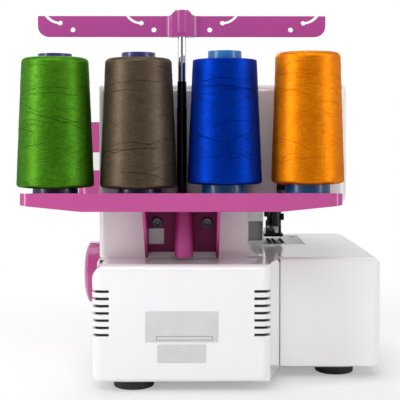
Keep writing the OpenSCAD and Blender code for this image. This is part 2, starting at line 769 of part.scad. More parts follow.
// An open belt's filled loop round both wheels, from the outer tangents of the two circles
module belt_loop(x0, x1, extra) {
    a = [shaft_y, shaft_z];
    b = [motor_y, motor_z];
    ra = big_pulley_r + extra;
    rb = small_pulley_r + extra;
    d = b - a;
    t = atan2(d[1], d[0]);
    g = acos((ra - rb) / norm(d));
    lap = 0.02;                      // the straight runs start just inside the wheels' circles
    along_x(x0, x1) polygon([for (s = [1, -1], k = (s > 0 ? [0, 1] : [1, 0]))
        (k == 0 ? a : b) + ((k == 0 ? ra : rb) - lap) * [cos(t + s * g), sin(t + s * g)]]);
    rod_x(x0, x1, a[0], a[1], ra);
    rod_x(x0, x1, b[0], b[1], rb);
}

module drive_belt() color("#1d1d1f") at_base() difference() {
    belt_loop(pulley_x + 2, pulley_x + pulley_w - 2, 2.2);
    belt_loop(pulley_x + 1, pulley_x + pulley_w - 1, 0.4);
}

module motor() color("#6b6f74") at_base() difference() {
    union() {
        rod_x(-40, 35, motor_y, motor_z, 26);
        rod_x(35, 40, motor_y, motor_z, 10);
        block(-30, -6, floor_z, 24, 30, motor_z - 15);
    }
    rod_x(24, 42, motor_y, motor_z, 3 + run_gap);
    for (a = [0 : 45 : 315]) translate([0, motor_y, motor_z]) rotate([a, 0, 0])
        rod_x(-41, -36, 17, 0, 4);
}

// ---- controls on the right side ----

module side_dial(p, r, flutes) {
    difference() {
        union() {
            translate([body_half + body_gap, p[0], p[1]]) rotate([0, 90, 0]) rotate_extrude()
                panel(0, 0, r, 9, [0, 0, 2, 0]);
            rod_x(body_half - 6, body_half + 2, p[0], p[1], 3);
        }
        for (i = [1 : flutes]) translate([0, p[0], p[1]]) rotate([i * 360 / flutes, 0, 0])
            rod_x(body_half + 2, body_half + 12, r + 0.5, 0, 1.5);
    }
}

module stitch_length_dial() color("#e6e6e6") at_base() side_dial(length_dial, 15, 20);

module differential_dial() color("#e6e6e6") at_base() side_dial(diff_dial, 12, 16);

module mains_panel() color("#202022") at_base() {
    difference() {
        union() {
            block(body_half - 9.5, -70, 22, body_half, -22, 48);
            block(body_half, -71.5, 20.5, body_half + 0.8, -20.5, 49.5);
        }
        // inlet recess, then the switch well
        block(body_half - 8, -67, 26, body_half + 2, -45, 44);
        block(body_half - 8.2, -38, 24.5, body_half + 2, -25, 45.5);
    }
    for (y = [-61.5, -56, -50.5]) rod_x(body_half - 8.5, body_half - 2, y, 35, 1.2);
    rod_y(-38.5, -24.5, body_half - 4.5, 35, 1.2);
}

module power_rocker() color("#c23030") at_base() difference() {
    along_y(-37.4, -25.6) difference() {
        polygon([[body_half - 6.4, 29.5], [body_half - 6.4, 40.5], [body_half - 2.2, 44.6],
                 [body_half - 0.8, 44.6], [body_half - 0.6, 35], [body_half + 2.2, 26.6],
                 [body_half - 2.2, 25.4]]);
        translate([body_half - 4.5, 35]) circle(1.2 + run_gap);
    }
}

// ---- thread stand ----

module tray_front_view(t) {
    e = 165.6;
    polygon([[-tray_w / 2 + t, tray_top + 1], [-tray_w / 2 + t, e + t], [-84, tray_bottom + t],
             [84, tray_bottom + t], [tray_w / 2 - t, e + t], [tray_w / 2 - t, tray_top + 1]]);
}

module tray_plan(t) {
    panel(-tray_w / 2 + t, tray_y0 + t, tray_w / 2 - t, tray_y0 + tray_d - t,
        [10 - t, 10 - t, 10 - t, 10 - t]);
}

module spool_tray() color(pink) at_base() difference() {
    union() {
        difference() {
            intersection() {
                along_z(tray_bottom, tray_top) tray_plan(0);
                along_y(0, tray_y0 + tray_d + 1) tray_front_view(0);
                along_x(-tray_w, tray_w) polygon([[0, 150], [0, tray_far_rim], [tray_y0, tray_far_rim],
                    [tray_y0 + tray_d, tray_top], [tray_y0 + tray_d + 1, tray_top],
                    [tray_y0 + tray_d + 1, 150]]);
            }
            along_z(tray_floor, tray_top + 1) tray_plan(3);
            intersection() {
                along_z(tray_bottom - 1, tray_floor - 2.6) tray_plan(2.6);
                translate([0, 0, -2.6]) along_y(0, tray_y0 + tray_d + 1) tray_front_view(0);
            }
        }
        for (x = pin_x) {
            rod_z(tray_floor - 1, core_top - 8, x, stand_y, pin_r);
            rod_z(tray_floor - 1, tray_floor + 1.5, x, stand_y, 22);
        }
        rod_z(tray_floor - 2.6, tray_floor + 4, 0, pole_y, 9);
    }
    rod_z(tray_bottom - 2, tray_top + 2, 0, pole_y, pole_r);
}

module stand_bracket() color(pink) at_base() difference() {
    union() {
        // back panel, top plate inside the tray, two gussets and the pole's socket with its web
        block(-bracket_half, 0, bracket_panel_low, bracket_half, 2.4, tray_bottom - 0.3);
        block(-bracket_half, tray_y0 + 2.8, tray_floor - 5, bracket_half, 70, tray_floor - 2.6);
        for (s = [-1, 1]) along_x(min(s * bracket_half, s * (bracket_half - 2.4)),
            max(s * bracket_half, s * (bracket_half - 2.4)))
            polygon([[0, bracket_low], [0, tray_bottom - 0.3], [tray_y0 + 2.8, tray_bottom - 0.3],
                [tray_y0 + 2.8, tray_floor - 2.6], [70, tray_floor - 2.6], [70, 161], [14, bracket_low]]);
        rod_z(socket_low, tray_floor - 2.6, socket_x, pole_y, 8.2);
        block(-3, 2, bracket_panel_low, 3, pole_y - 6, tray_bottom - 0.3);
    }
    rod_z(pole_foot, 170, 0, pole_y, pole_r);
    block(16.6, -1, 124, bracket_half - 2.6, 4, 138.6);
    for (s = [-1, 1]) rod_y(-1, 4, s * 22.8, 144, 2);
}

module bracket_screws() color("#9a9da1") at_base() for (s = [-1, 1]) difference() {
    union() {
        rod_y(2.4, 5, s * 22.8, 144, 4.4);
        rod_y(0, 2.4, s * 22.8, 144, 2);
    }
    block(s * 22.8 - 3, 4, 143.4, s * 22.8 + 3, 6, 144.6);
    block(s * 22.8 - 0.6, 4, 141, s * 22.8 + 0.6, 6, 147);
}

module tube(z0, z1, r, inner) {
    difference() {
        rod_z(z0, z1, 0, pole_y, r);
        rod_z(z0 - 1, z1 + 1, 0, pole_y, inner);
    }
}

module pole_lower() color("#1c1c1e") at_base()
    tube(pole_foot, pole_joint_low, pole_r, pole_r - 0.35);

module pole_middle() color("#1c1c1e") at_base()
    tube(pole_joint_low - 118, pole_joint_high, pole_r - 0.35 - run_gap, pole_r - 0.7 - run_gap);

module pole_top() color(steel) at_base()
    rod_z(pole_joint_high - 120, tree_high + 2, 0, pole_y, pole_r - 0.7 - 2 * run_gap);

// One thread eye: a slot slanting down from the top edge to a round hole, and a second hole
module thread_eye(hole_x, s) {
    hole_z = tree_high - 6.1;
    curve_r = 15;
    translate([hole_x, hole_z]) circle(2.1);
    // the slot curves up from the hole to the upper edge
    intersection() {
        translate([hole_x, hole_z + curve_r]) difference() {
            circle(curve_r + 1.1);
            circle(curve_r - 1.1);
        }
        rect(hole_x + min(0, s * 20), hole_z - 3, hole_x + max(0, s * 20), tree_high + 1);
    }
    translate([hole_x - s * 11.2, hole_z - 6]) circle(2.2);
}

// Seen from above, the plate swells smoothly into the hub
module swell_plan(half_w, half_d, curve_r) {
    difference() {
        translate([0, pole_y]) square([2 * half_w, 2 * half_d], center = true);
        for (x = [-1, 1], y = [-1, 1])
            translate([x * half_w, pole_y + y * (1.3 + curve_r)]) circle(curve_r);
    }
}

module thread_tree() color(pink) at_base() difference() {
    union() {
        along_y(pole_y - 1.5, pole_y + 1.5) difference() {
            panel(-tree_w / 2, tree_low, tree_w / 2, tree_high, [9.5, 9.5, 0.8, 0.8]);
            for (x = [-1, 1] * 36) thread_eye(x, sign(x));
            for (x = [-1, 1] * 107.8) thread_eye(x, sign(x));
        }
        rod_z(tree_low + 3, tree_high + 5, 0, pole_y, 6.5);
        difference() {
            along_z(tree_low, tree_high + 3.4) swell_plan(16, 5.5, 8);
            // the swell's upper edge rises in a curve towards the hub
            for (x = [-1, 1]) rod_y(pole_y - 9, pole_y + 9, x * 12.2, tree_high + 5.5, 5.4);
            for (x = [-1, 1]) block(min(x * 12.2, x * 20), pole_y - 9, tree_high + 0.1,
                max(x * 12.2, x * 20), pole_y + 9, tree_high + 9);
        }
    }
    rod_z(tree_low - 1, tree_high + 2.2, 0, pole_y, pole_r - 0.7 - run_gap);
}

// ---- thread cones ----

function core_r(z) = core_base_r + (core_top_r - core_base_r) * (z - tray_floor) / (core_top - tray_floor);

// Underside and top of the wound thread on cone i, and the top of its core
function thread_low(i) = cone_z + cone_fit[i][2];
function thread_high(i) = cone_z + cone_h + cone_fit[i][3];
function core_end(i) = thread_high(i) + cone_fit[i][5];

module core(i) {
    bottom = tray_floor + 1.8;
    end = core_end(i);
    translate([pin_x[i], stand_y, 0]) difference() {
        translate([0, 0, bottom]) cylinder(end - bottom, core_r(bottom), core_r(end));
        translate([0, 0, bottom - 1]) cylinder(end - bottom - 1, core_r(bottom) - 1.6, core_r(end) - 1.6);
        cylinder(end + 5, pin_r + 0.5, pin_r + 0.5);
    }
}

module wound_thread(i) {
    z0 = thread_low(i);
    z1 = thread_high(i);
    base_r = cone_base_r + cone_fit[i][0];
    top_r = base_r - cone_fit[i][1];
    shoulder = cone_fit[i][4];
    translate([pin_x[i], stand_y, 0]) difference() {
        rotate_extrude() difference() {
            polygon([[0, z0], [base_r - 2, z0], [base_r, z0 + 3], [top_r, z1 - shoulder],
                     [top_r - 0.9 * shoulder, z1], [0, z1]]);
            rect(-1, 0, 0, 400);
        }
        translate([0, 0, z0 - 1]) cylinder(z1 - z0 + 2, core_r(z0 - 1), core_r(z1 + 1));
    }
}

module core_orange() color("#1f86c6") at_base() core(0);

module core_blue() color("#1f86c6") at_base() core(1);

module core_brown() color("#2a2fa0") at_base() core(2);

module core_green() color("#2a2fa0") at_base() core(3);

module thread_orange() color("#f5a800") at_base() wound_thread(0);

module thread_blue() color("#0546c0") at_base() wound_thread(1);

module thread_brown() color("#6e6250") at_base() wound_thread(2);

module thread_green() color("#4a9a2a") at_base() wound_thread(3);

base_plate();
rubber_feet();
rear_casing();
body_casing();
side_cover();
tower_casing();
console_body();
upper_thread_guide();
lower_thread_guide();
dial_left_needle();
dial_right_needle();
dial_upper_looper();
dial_lower_looper();
tension_discs();
looper_cover();
looper_housing();
free_arm();
needle_plate();
feed_dogs();
lower_knife();
upper_knife();
knife_arm();
knife_guard();
lower_looper();
upper_looper();
needle_bar();
needle_clamp();
needles();
presser_bar();
presser_foot();
presser_lifter();
pressure_dial();
sewing_lamp();
frame_casting();
shaft_bushings();
main_shaft();
handwheel();
shaft_pulley();
drive_belt();
motor();
motor_pulley();
stitch_length_dial();
differential_dial();
power_rocker();
mains_panel();
spool_tray();
stand_bracket();
bracket_screws();
pole_lower();
pole_middle();
pole_top();
thread_tree();
core_green();
core_brown();
core_blue();
core_orange();
thread_green();
thread_brown();
thread_blue();
thread_orange();
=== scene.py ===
"""Looks of the serger overlock machine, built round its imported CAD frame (metres, +Z up)."""
import json
import math
import random

import bpy
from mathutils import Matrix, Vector


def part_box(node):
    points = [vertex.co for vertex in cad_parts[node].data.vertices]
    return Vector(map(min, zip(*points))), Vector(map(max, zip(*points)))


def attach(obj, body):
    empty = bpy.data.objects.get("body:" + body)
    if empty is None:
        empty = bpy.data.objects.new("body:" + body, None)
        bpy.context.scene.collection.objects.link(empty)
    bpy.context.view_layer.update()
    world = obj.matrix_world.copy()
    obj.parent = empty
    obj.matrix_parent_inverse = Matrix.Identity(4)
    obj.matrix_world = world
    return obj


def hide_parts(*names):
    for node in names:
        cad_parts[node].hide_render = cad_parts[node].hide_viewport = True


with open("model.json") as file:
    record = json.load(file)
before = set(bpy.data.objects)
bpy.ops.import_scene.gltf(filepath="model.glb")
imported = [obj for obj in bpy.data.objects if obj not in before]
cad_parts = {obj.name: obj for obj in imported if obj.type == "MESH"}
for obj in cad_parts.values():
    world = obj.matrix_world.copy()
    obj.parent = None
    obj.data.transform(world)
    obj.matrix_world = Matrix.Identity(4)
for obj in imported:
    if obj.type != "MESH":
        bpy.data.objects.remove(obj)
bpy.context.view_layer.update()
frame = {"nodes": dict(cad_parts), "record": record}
MM = 0.001
NODES = frame["nodes"]


def span(node):
    """Lowest and highest corner of a CAD node, in metres."""
    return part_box(node)


def middle(node):
    """The centre of a CAD node's box."""
    low, high = span(node)
    return (low + high) / 2


STAND_X = middle("stand_bracket").x
CASING_REAR = span("rear_casing")[1].y
CASING_DEPTH = 50                  # how far the rear casing stands out behind the tower, in mm


def at(x, y, z):
    """A point in mm from the thread stand's axis, the tower's rear face and the table."""
    return Vector((STAND_X + x * MM, CASING_REAR + (y - CASING_DEPTH) * MM, z * MM))


def add_object(name, data):
    """A new object in the scene."""
    made = bpy.data.objects.new(name, data)
    bpy.context.scene.collection.objects.link(made)
    return made


# ---- camera, as the photograph was taken: behind the machine, a little above the bed ----

EYE = Vector((STAND_X - 0.0087, CASING_REAR + 0.8177, 0.2285))
PITCH, YAW = math.radians(1.322), math.radians(0.504)
SENSOR_WIDTH, LENS = 36.0, 85.39   # in mm
FRAMING_SHIFT = -0.12              # down, as a share of the frame
NEAREST, FARTHEST = 0.01, 50       # what the camera sees, in metres


def make_camera():
    data = bpy.data.cameras.new("photo_camera")
    data.sensor_width = SENSOR_WIDTH
    data.lens = LENS
    data.shift_y = FRAMING_SHIFT
    data.clip_start, data.clip_end = NEAREST, FARTHEST
    camera = add_object("photo_camera", data)
    camera.location = EYE
    aim = Vector((-math.tan(YAW), -1, -math.tan(PITCH)))
    camera.rotation_euler = aim.to_track_quat("-Z", "Y").to_euler()
    bpy.context.scene.camera = camera


# ---- node helpers ----

# a Mix node's colour sockets, which share their names with its other types' sockets
MIX_A, MIX_B, MIX_RESULT = 6, 7, 2


def linear(hex_colour):
    """Linear RGBA from an sRGB hex colour."""
    out = []
    for i in (0, 2, 4):
        c = int(hex_colour[i:i + 2], 16) / 255
        out.append(c / 12.92 if c <= 0.04045 else ((c + 0.055) / 1.055) ** 2.4)
    return (*out, 1.0)


def add_node(tree, kind, **settings):
    """A new node with its settings, such as its operation."""
    made = tree.nodes.new(kind)
    for key, value in settings.items():
        setattr(made, key, value)
    return made


def calculate(tree, operation, *values):
    """The result of a Math node on numbers and sockets."""
    made = add_node(tree, "ShaderNodeMath", operation=operation)
    for i, value in enumerate(values):
        if isinstance(value, (int, float)):
            made.inputs[i].default_value = value
        else:
            tree.links.new(value, made.inputs[i])
    return made.outputs[0]


def map_range(tree, value, start, end, first=0.0, last=1.0, **settings):
    """The value mapped from start..end to first..last, and held there beyond them."""
    made = add_node(tree, "ShaderNodeMapRange", **settings)
    for socket, number in (("From Min", start), ("From Max", end), ("To Min", first),
                           ("To Max", last)):
        made.inputs[socket].default_value = number
    tree.links.new(value, made.inputs["Value"])
    return made.outputs["Result"]


class Material:
    """A node material with a few shortcuts for procedural detail."""

    def __init__(self, name, colour, roughness, metallic=0.0, coat=0.0, edge_mm=0.5):
        self.material = bpy.data.materials.new(name)
        self.material.use_nodes = True
        self.tree = self.material.node_tree
        self.shader = self.tree.nodes["Principled BSDF"]
        self.colour = linear(colour)
        self.set("Base Color", self.colour)
        self.set("Roughness", roughness)
        self.set("Metallic", metallic)
        self.set("Coat Weight", coat)
        self.set("Coat Roughness", 0.08)
        self.normal = None
        if edge_mm:
            edge = self.node("ShaderNodeBevel", samples=4)
            edge.inputs["Radius"].default_value = edge_mm * MM
            self.set_normal(edge.outputs["Normal"])

    def set(self, socket, value):
        """Sets a constant on the shader's own socket."""
        self.shader.inputs[socket].default_value = value

    def node(self, kind, **settings):
        return add_node(self.tree, kind, **settings)

    def link(self, a, b):
        self.tree.links.new(a, b)

    def set_normal(self, normal):
        self.normal = normal
        self.link(normal, self.shader.inputs["Normal"])

    def stretched(self, stretch):
        """Object coordinates, stretched."""
        where = self.node("ShaderNodeTexCoord")
        mapping = self.node("ShaderNodeMapping")
        mapping.inputs["Scale"].default_value = stretch
        self.link(where.outputs["Object"], mapping.inputs["Vector"])
        return mapping.outputs["Vector"]

    def noise(self, scale, detail=3, stretch=(1, 1, 1), rough=0.5, place=None):
        """Noise over the stretched object coordinates, or over a place worked out before."""
        made = self.node("ShaderNodeTexNoise")
        made.inputs["Scale"].default_value = scale
        made.inputs["Detail"].default_value = detail
        made.inputs["Roughness"].default_value = rough
        self.link(place or self.stretched(stretch), made.inputs["Vector"])
        return made.outputs["Fac"]

    def bump(self, height, strength, distance_mm):
        """Adds a bump to what the surface has so far."""
        made = self.node("ShaderNodeBump")
        made.inputs["Strength"].default_value = strength
        made.inputs["Distance"].default_value = distance_mm * MM
        self.link(height, made.inputs["Height"])
        if self.normal:
            self.link(self.normal, made.inputs["Normal"])
        self.set_normal(made.outputs["Normal"])
        return self

    def vary_colour(self, factor, other, amount=1.0):
        """Blends the base colour towards another where factor is high."""
        mix = self.node("ShaderNodeMix", data_type="RGBA")
        share = map_range(self.tree, factor, start=0.35, end=0.65, last=amount)
        self.link(share, mix.inputs["Factor"])
        mix.inputs[MIX_A].default_value = self.colour
        mix.inputs[MIX_B].default_value = linear(other)
        self.link(mix.outputs[MIX_RESULT], self.shader.inputs["Base Color"])
        return self

    def paint_shade_in_hollows(self, hollow_shade, distance_mm, low=0.25, high=0.85):
        """Painted shade: darkens the colour towards a shade colour in hollows, found by ambient
        occlusion.
        """
        hollow = self.node("ShaderNodeAmbientOcclusion", samples=8)
        hollow.inputs["Distance"].default_value = distance_mm * MM
        mix = self.node("ShaderNodeMix", data_type="RGBA")
        self.link(map_range(self.tree, hollow.outputs["AO"], low, high), mix.inputs["Factor"])
        mix.inputs[MIX_A].default_value = linear(hollow_shade)
        before = self.shader.inputs["Base Color"].links[0].from_socket
        self.link(before, mix.inputs[MIX_B])
        self.link(mix.outputs[MIX_RESULT], self.shader.inputs["Base Color"])
        return self

    def vary_roughness(self, factor, low, high):
        """Moves the roughness between two values with factor."""
        rough = map_range(self.tree, factor, start=0.3, end=0.7, first=low, last=high)
        self.link(rough, self.shader.inputs["Roughness"])
        return self


# ---- materials; a noise's scale is its number of features in a metre ----

def gloss_plastic(name, colour, tint, rough=0.16, coat=0.35, edge_mm=0.8, hollow_shade=None):
    """Moulded plastic with slow shifts of colour; where a shade colour is given, painted shade
    darkens its hollows towards it.
    """
    m = Material(name, colour, rough, coat=coat, edge_mm=edge_mm)
    m.vary_colour(m.noise(scale=14), tint, amount=0.35)
    if hollow_shade:
        m.paint_shade_in_hollows(hollow_shade, distance_mm=14, low=0.2, high=0.8)
    m.vary_roughness(m.noise(scale=60, detail=4), rough * 0.94, rough * 1.1)
    return m.bump(m.noise(scale=900, detail=2), strength=0.06, distance_mm=0.03).material


def bracket_plastic():
    """The accent pink with a satin finish; painted shade darkens its recess to dark magenta."""
    m = Material("bracket_pink", "b94a8e", 0.42, edge_mm=0.8)
    m.set("Specular IOR Level", 0.25)
    m.vary_colour(m.noise(scale=14), "ae4385", amount=0.35)
    # painted shade: the recess darkens towards dark magenta
    return m.paint_shade_in_hollows("8c0f5c", distance_mm=45, low=0.25, high=0.8).material


def matt_plastic(name, colour, tint, rough=0.5, edge_mm=0.4):
    m = Material(name, colour, rough, edge_mm=edge_mm)
    m.vary_colour(m.noise(scale=40), tint, amount=0.4)
    return m.bump(m.noise(scale=2600, detail=2), strength=0.35, distance_mm=0.05).material


def polished_metal(name, colour, rough=0.12):
    m = Material(name, colour, rough, metallic=1.0, edge_mm=0.25)
    streaks = m.noise(scale=300, detail=4, stretch=(1, 1, 0.15))
    m.vary_roughness(streaks, rough * 0.7, rough * 1.6)
    return m.bump(m.noise(scale=1500, detail=2), strength=0.05, distance_mm=0.02).material


def brushed_metal(name, colour, stretch=(0.02, 1, 1), rough=0.32):
    m = Material(name, colour, rough, metallic=1.0, edge_mm=0.25)
    grain = m.noise(scale=4000, detail=3, stretch=stretch)
    m.vary_roughness(grain, rough * 0.7, rough * 1.4)
    return m.bump(grain, strength=0.15, distance_mm=0.02).material


def rubber(name, colour):
    m = Material(name, colour, 0.6, edge_mm=0.6)
    m.vary_colour(m.noise(scale=120), "262626", amount=0.6)
    return m.bump(m.noise(scale=1800, detail=3), strength=0.4, distance_mm=0.08).material


def lamp_glass():
    m = Material("lamp_lens", "fff8e6", 0.15, edge_mm=0.4)
    m.set("Transmission Weight", 0.7)
    return m.bump(m.noise(scale=700, detail=1), strength=0.2, distance_mm=0.1).material


def yarn(name, cone, colour, dark, light, glint):
    """Wound thread: strands that cross, broad and fine, and their grain, over slow bands."""
    m = Material(name, colour, 0.34, metallic=0.65, edge_mm=0)
    m.set("Specular IOR Level", 1.0)
    m.set("Specular Tint", linear(glint))
    m.set("Anisotropic", 0.75)
    axis = middle(cone)
    where = m.node("ShaderNodeTexCoord")
    centred = m.node("ShaderNodeVectorMath", operation="SUBTRACT")
    centred.inputs[1].default_value = (axis.x, axis.y, 0)
    m.link(where.outputs["Object"], centred.inputs[0])
    split = m.node("ShaderNodeSeparateXYZ")
    m.link(centred.outputs["Vector"], split.inputs["Vector"])
    x, y, z = (split.outputs[axis_name] for axis_name in "XYZ")
    turn = calculate(m.tree, "ARCTAN2", y, x)

    def weigh(value, weight, rest):
        """The value times its weight, added to the rest."""
        return calculate(m.tree, "MULTIPLY_ADD", value, weight, rest)

    def strands(count, per_metre):
        """A sine over strands at a shallow angle: count waves round the cone, per_metre up."""
        along = calculate(m.tree, "MULTIPLY", turn, count)
        return calculate(m.tree, "SINE", weigh(z, math.tau * per_metre, along))

    def laid(count, per_metre, slant_mm):
        """Noise drawn out along strands that rise and fall round the cone."""
        thinness = 13.0            # how much finer it is across the strands than along them
        height = weigh(strands(count, per_metre), slant_mm * MM, z)
        point = m.node("ShaderNodeCombineXYZ")
        m.link(x, point.inputs["X"])
        m.link(y, point.inputs["Y"])
        m.link(weigh(height, thinness, 0.0), point.inputs["Z"])
        return m.noise(scale=100, detail=3, rough=0.65, place=point.outputs["Vector"])

    fine = weigh(strands(31, 1450), 0.5, weigh(strands(-14, 1170), 0.5, 0.5))
    # these three vary about zero
    grain = weigh(m.noise(scale=700, detail=2, stretch=(1, 1, 1.6), rough=0.7), 1.3, -0.65)
    crossed = weigh(laid(2, 9, slant_mm=4.5), 1.0, weigh(laid(-3, 7, slant_mm=3.5), 1.0, -1.0))
    slow = weigh(m.noise(scale=16, detail=2, stretch=(1, 1, 4)), 0.4, -0.2)
    # with half of the fine strands' weight, the mean is the ramp's middle stop
    fine_weight, crossed_weight, mean = 0.05, 0.9, 0.475
    bands = weigh(crossed, crossed_weight, weigh(slow, 1.0, mean))
    total = weigh(fine, fine_weight, weigh(grain, 1.0, bands))
    ramp = m.node("ShaderNodeValToRGB")
    stops = ramp.color_ramp.elements
    stops[0].position, stops[0].color = 0.12, linear(dark)
    stops[1].position, stops[1].color = 0.92, linear(light)
    middle_stop = stops.new(0.5)
    middle_stop.color = m.colour
    m.link(total, ramp.inputs["Fac"])
    m.link(ramp.outputs["Color"], m.shader.inputs["Base Color"])
    tangent = m.node("ShaderNodeTangent", direction_type="RADIAL", axis="Z")
    m.link(tangent.outputs["Tangent"], m.shader.inputs["Tangent"])
    return m.bump(fine, strength=0.2, distance_mm=0.1).material


# each thread's colour, its dark and light strands, its glint and its loose strands, whose darker
# colour is painted shadow along them
THREADS = {"green": ("386f0c", "295505", "4b8a1c", "a0d070", "1a3a08"),
           "brown": ("4a3f31", "3a3024", "5c5042", "b8ab9c", "231c15"),
           "blue": ("01278c", "011c6a", "0232a4", "0a70ff", "01134c"),
           "orange": ("d27204", "bc5600", "e68a08", "ffd850", "b25806")}


def make_materials():
    """Every material by its short name. Plastics have their colour, the tint it shifts to, the
    roughness and, where they are glossy, the coat; metals their colour and roughness."""
    made = {
        "white": gloss_plastic("casing_white", "ececec", "e6e4e8", 0.14, 0.5),
        "pink": gloss_plastic("accent_pink", "b94a8e", "ae4385", 0.2, 0.4),
        "bracket": bracket_plastic(),
        # darker than the accent pink: partly the tree's own hue, partly painted shade for the
        # backlit tree
        "tree": gloss_plastic("tree_pink", "a9418b", "a23e85", 0.24, 0.3),
        # grey of the guard's recess, darkened in part as painted shade
        "recess": matt_plastic("recess_grey", "98959a", "8a878c", 0.4),
        "mark": matt_plastic("mark_grey", "55565a", "4a4b4e", 0.5, edge_mm=0),
        "tick": matt_plastic("tick_white", "f0f0f0", "e4e4e4", 0.5, edge_mm=0),
        "plate_steel": brushed_metal("needle_plate_steel", "66686b", (1, 0.03, 1), 0.36),
        "inner": matt_plastic("inner_grey", "d8d8d8", "cfcfcf"),
        "base": matt_plastic("base_grey", "cfcfd2", "c4c4c8"),
        "foot": rubber("foot_rubber", "161616"),
        "belt": rubber("belt_rubber", "1b1b1c"),
        "black": matt_plastic("black_plastic", "1c1c1e", "252527", 0.35),
        "dark_metal": polished_metal("dark_metal", "5a5c60", 0.3),
        "cast": brushed_metal("cast_alloy", "9a9da1", (1, 1, 1), 0.5),
        "steel": brushed_metal("plate_steel", "d2d3d6"),
        "chrome": polished_metal("chrome", "dcdde0", 0.08),
        "pole": polished_metal("pole_black", "2a2a2c", 0.22),
        "bright": matt_plastic("bright_nickel", "dcdde0", "e8e9ec", 0.3, edge_mm=0.1),
        "foot_metal": polished_metal("foot_metal", "303134", 0.22),
        "screw_black": polished_metal("screw_black", "55575c", 0.2),
        "bronze": brushed_metal("bronze", "b98a4a"),
        "lens": lamp_glass(),
        "red": gloss_plastic("rocker_red", "c23030", "b02828", edge_mm=0.3),
        "plate": matt_plastic("plate_grey", "c9c9c9", "d6d6d6", 0.4),
        "dial_orange": gloss_plastic("dial_orange", "f5a800", "ee9c00", edge_mm=0.3),
        "dial_blue": gloss_plastic("dial_blue", "0a3fb0", "0b4ac4", edge_mm=0.3),
        "dial_brown": gloss_plastic("dial_brown", "6e6250", "786b58", edge_mm=0.3),
        "dial_green": gloss_plastic("dial_green", "4a9a2a", "52a830", edge_mm=0.3),
        # the cores' last colour is painted shade, darkening their hollows under the thread
        "core_navy": gloss_plastic("core_navy", "1d2270", "272d84", 0.3, 0.1, 0.3, "070a20"),
        "core_sky": gloss_plastic("core_sky", "0f6cb0", "1a7cc2", 0.3, 0.1, 0.3, "04243f"),
    }
    for name, (colour, dark, light, glint, loose) in THREADS.items():
        made[f"yarn_{name}"] = yarn(f"yarn_{name}", f"thread_{name}", colour, dark, light, glint)
        # loose strands darker than their thread: painted shadow along the strands
        made[f"strand_{name}"] = polished_metal(f"strand_{name}", loose, 0.36)
    return made


# the record's slots whose material has another name here
SLOT_MATERIAL = {"casing_white": "white", "accent_pink": "pink", "inner_grey": "inner",
                 "base_grey": "base", "foot_rubber": "foot", "black_plastic": "black",
                 "cast_alloy": "cast", "belt_rubber": "belt", "lamp_lens": "lens",
                 "rocker_red": "red"}
NODE_MATERIAL = {"pole_lower": "pole", "pole_middle": "pole", "stand_bracket": "bracket",
                 "thread_tree": "tree", "needle_plate": "plate_steel",
                 "presser_foot": "foot_metal"}


def dress_cad(materials):
    """Gives every CAD node the material of its slot, or its own."""
    for part in frame["record"]["subparts"]:
        slot = part["material_slot"]
        name = NODE_MATERIAL.get(part["node"], SLOT_MATERIAL.get(slot, slot))
        node = NODES[part["node"]]
        node.data.materials.clear()
        node.data.materials.append(materials[name])


# ---- mesh helpers ----

def add_mesh(name, vertices, faces, material, body, smooth=True):
    """A piece of the visual model, which rides on a body."""
    mesh = bpy.data.meshes.new(name)
    mesh.from_pydata(vertices, [], faces)
    mesh.validate()
    mesh.update()
    for polygon in mesh.polygons:
        polygon.use_smooth = smooth
    mesh.materials.append(material)
    obj = add_object(name, mesh)
    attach(obj, body)
    return obj


def ring_faces(rings, steps):
    """Quads between closed rings of vertices that follow one another."""
    faces = []
    for j in range(rings - 1):
        for k in range(steps):
            n = (k + 1) % steps
            faces.append((j * steps + k, j * steps + n, (j + 1) * steps + n, (j + 1) * steps + k))
    return faces


def capped_rings(rings, steps):
    """The same, with a face across the first ring and one across the last."""
    first = tuple(range(steps))[::-1]
    last = tuple((rings - 1) * steps + k for k in range(steps))
    return ring_faces(rings, steps) + [first, last]


CORNER_STEPS = 6                   # of each round corner of a slab
TURNED_STEPS = 48                  # round a screw head or a ring


def rounded_slab(name, low, high, axis, radius, edge, material, body):
    """A thin plate with round corners and a soft front edge. axis is the plate's normal."""
    flat = [i for i in range(3) if i != axis]
    size = [high[i] - low[i] for i in flat]
    mid = [(high[i] + low[i]) / 2 for i in flat]
    outline = []
    for sx, sy, start in ((1, 1, 0), (-1, 1, 90), (-1, -1, 180), (1, -1, 270)):
        for k in range(CORNER_STEPS + 1):
            a = math.radians(start + 90 / CORNER_STEPS * k)
            outline.append((sx * (size[0] / 2 - radius), sy * (size[1] / 2 - radius), a))
    soft = edge * 0.3
    layers = [(0, low[axis]), (0, high[axis] - edge), (soft, high[axis] - soft),
              (edge, high[axis])]
    vertices = []
    for inset, h in layers:
        for cx, cy, a in outline:
            p = [0, 0, 0]
            p[flat[0]] = mid[0] + cx + (radius - inset) * math.cos(a)
            p[flat[1]] = mid[1] + cy + (radius - inset) * math.sin(a)
            p[axis] = h
            vertices.append(p)
    faces = capped_rings(len(layers), len(outline))
    if axis == 1:
        faces = [f[::-1] for f in faces]
    return add_mesh(name, vertices, faces, material, body, smooth=False)


def slab(name, low, high, axis, radius, edge, material, body="machine"):
    """A rounded plate between two corners given in machine millimetres."""
    a, b = at(*low), at(*high)
    return rounded_slab(name, [min(a[i], b[i]) for i in range(3)],
                        [max(a[i], b[i]) for i in range(3)], axis, radius * MM, edge * MM,
                        material, body)


def turned(name, centre, normal, layers, material, body):
    """A solid from rings of points: each layer is (outline function of the angle, height)."""
    n = Vector(normal)
    u = n.orthogonal().normalized()
    v = n.cross(u)
    vertices = []
    for outline, height in layers:
        for k in range(TURNED_STEPS):
            a = math.tau * k / TURNED_STEPS
            r = outline(a) * MM
            vertices.append(centre + n * height * MM + u * r * math.cos(a) + v * r * math.sin(a))
    return add_mesh(name, vertices, capped_rings(len(layers), TURNED_STEPS), material, body,
                    smooth=False)


def circle(radius):
    """A round outline for turned()."""
    return lambda a: radius


